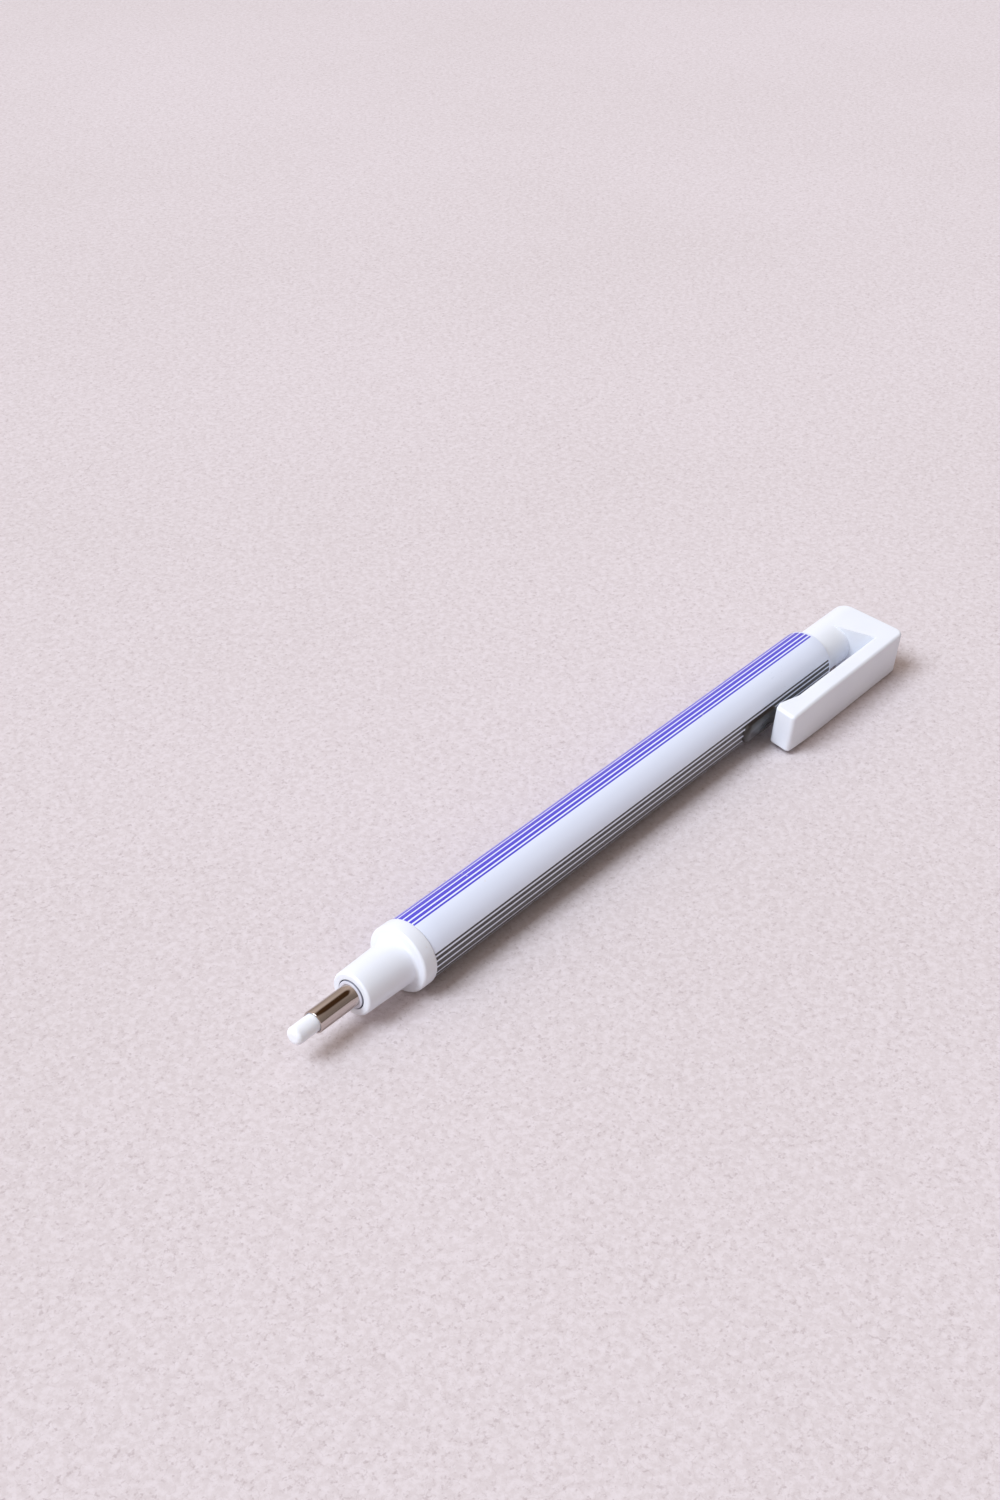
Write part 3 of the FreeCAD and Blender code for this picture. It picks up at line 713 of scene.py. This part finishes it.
def narrow_tip(piece):
    """Narrows the clip's arm over its last 10 mm, more below than above.

    The half width, across the clip, shrinks with the square of the share of that way
    gone: to 0.81 of itself at the lower corner of the tip and to 0.94 at the upper one.
    Points nearer the axis than the arm belong to the knock, and stay where they are.
    """
    length, lower_loss, upper_loss, below_arm = 10.0, 0.19, 0.06, 4.4
    edit = bmesh.new()
    edit.from_mesh(piece.data)
    for cut in np.linspace(0.2, 1.0, 5) * length:
        bmesh.ops.bisect_plane(
            edit, geom=edit.verts[:] + edit.edges[:] + edit.faces[:], dist=1e-7,
            plane_co=(START + (CLIP_FRONT + cut) * MM, 0, 0), plane_no=(1, 0, 0))
    bmesh.ops.triangulate(edit, faces=[f for f in edit.faces if len(f.verts) > 4])
    edit.to_mesh(piece.data)
    edit.free()
    places = np.empty(len(piece.data.vertices) * 3, np.float32)
    piece.data.vertices.foreach_get("co", places)
    x, y, z = places.reshape(-1, 3).T
    outward = -y * math.cos(CLIP_ROLL) - z * math.sin(CLIP_ROLL)
    across = -y * math.sin(CLIP_ROLL) + z * math.cos(CLIP_ROLL)
    gone = np.clip(1 - ((x - START) / MM - CLIP_FRONT) / length, 0, 1)
    loss = gone ** 2 * np.where(across < 0, lower_loss, upper_loss)
    across = across * (1 - np.where(outward > below_arm * MM, loss, 0))
    y = -outward * math.cos(CLIP_ROLL) - across * math.sin(CLIP_ROLL)
    z = -outward * math.sin(CLIP_ROLL) + across * math.cos(CLIP_ROLL)
    piece.data.vertices.foreach_set("co", np.stack([x, y, z], axis=-1).ravel())
    piece.data.update()
    soften(piece, COPIED_SMOOTH)
    return piece


def spring():
    """The return spring, a smoothed copy of its CAD mesh with a mesh of its own; in the pen it
    shortens by the whole stroke as the feed unit is pressed.
    """
    piece = smooth_copy("return_spring", "coil_spring", 40)
    stands_for(piece, "return_spring", "barrel_assembly", wire)
    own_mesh(piece)


stands_for(eraser_piece(), "eraser_core", "eraser", vinyl)
stands_for(pipe_piece(), "guide_pipe", "barrel_assembly", steel)
stands_for(bush_piece(), "pipe_bush", "barrel_assembly", grey)
stands_for(nose_piece(), "nose_cone", "barrel_assembly", nose_white)
stands_for(barrel_piece(), "barrel", "barrel_assembly", print_coat)
stands_for(narrow_tip(smooth_copy("knock_with_clip", "knock_and_clip")), "knock_with_clip",
           "knock", white)
spring()

# The inner pieces that stay as the CAD has them.
for node, material in {
    "eraser_retainer": rubber, "mechanism_sleeve": natural, "clutch_ring": brass,
    "chuck": natural, "chuck_connector": natural, "feed_tube": milky,
}.items():
    mesh = frame["nodes"][node].data
    mesh.materials.clear()
    mesh.materials.append(material)


# ---------------------------------------------------------------- stage, light, camera


def table():
    """A pale level sheet that the pen lies on."""
    half, floor = 4.0, cad_low.z
    sheet = new_piece("table", [(-half, -half, floor), (half, -half, floor),
                                (half, half, floor), (-half, half, floor)], [(0, 1, 2, 3)])
    sheet.data.materials.append(table_paper())


def window_light():
    """A wide far light, high on the camera's left, as if through a big diffuser."""
    towards = (-0.56, 0.2, 0.8)
    data = bpy.data.lights.new("window", "SUN")
    data.energy = 2.66
    data.angle = math.radians(31.0)
    data.color = (0.93, 1.03, 1.15)
    lamp = bpy.data.objects.new("window", data)
    across = math.hypot(towards[0], towards[1])
    lamp.rotation_euler = (math.atan2(across, towards[2]), 0.0,
                           math.atan2(towards[0], -towards[1]))
    bpy.context.scene.collection.objects.link(lamp)


def surroundings():
    """A warm pale room, brighter overhead and to the camera's left, with a dark card.

    The card is what the steel pipe mirrors as its dark streak. The room's strength rises
    with the height of the direction, and again with how far it points to the left, and
    the card is a soft round spot about its own direction. The camera itself sees a plain
    pale backdrop instead, which also stands behind the table's far edge.
    """
    card_heading, left_heading = (0.643, -0.05, 0.764), (-0.5, 0.85, 0.0)
    room_tint, card_tint = (1.0, 0.865, 0.775, 1), (0.14, 0.07, 0.03, 1)
    backdrop = colour(226, 218, 220)
    world = bpy.data.worlds.new("soft_room")
    world.use_nodes = True
    w = Nodes(world.node_tree, "Generated")

    def along(heading):
        """How far the direction looked in points along a heading."""
        node = w.put("ShaderNodeVectorMath", operation="DOT_PRODUCT")
        w.link(w.place, node.inputs[0])
        node.inputs[1].default_value = heading
        return node.outputs["Value"]

    card = w.spread(along(card_heading), 0.9, 0.955)
    height = w.spread(w.parts(w.place)["Z"], 0.0, 0.9, 0.4, 0.66)
    side = w.spread(along(left_heading), -0.9, 0.9, 0.6, 1.5)
    seen = w.put("ShaderNodeLightPath").outputs["Is Camera Ray"]
    room = w.mixed(card, room_tint, card_tint)
    back = w.tree.nodes["Background"]
    w.link(w.mixed(seen, room, backdrop), back.inputs["Color"])
    strength = w.maths("MULTIPLY", height, side)
    w.link(w.maths("MAXIMUM", strength, seen), back.inputs["Strength"])
    bpy.context.scene.world = world


def camera():
    """The photograph's camera: a 50 mm lens, looking down at the pen from its nose side."""
    data = bpy.data.cameras.new("camera")
    data.lens = 50.0
    data.sensor_width = 36.0
    data.clip_start = 0.01
    eye = bpy.data.objects.new("camera", data)
    eye.location = (-0.17584, -0.13003, 0.15600)
    heading, depression = math.radians(50.617), math.radians(33.59)
    eye.rotation_euler = (math.pi / 2 - depression, 0.0, -heading)
    bpy.context.scene.collection.objects.link(eye)
    bpy.context.scene.camera = eye


table()
surroundings()
window_light()
camera()
bpy.context.scene.view_settings.view_transform = "Standard"
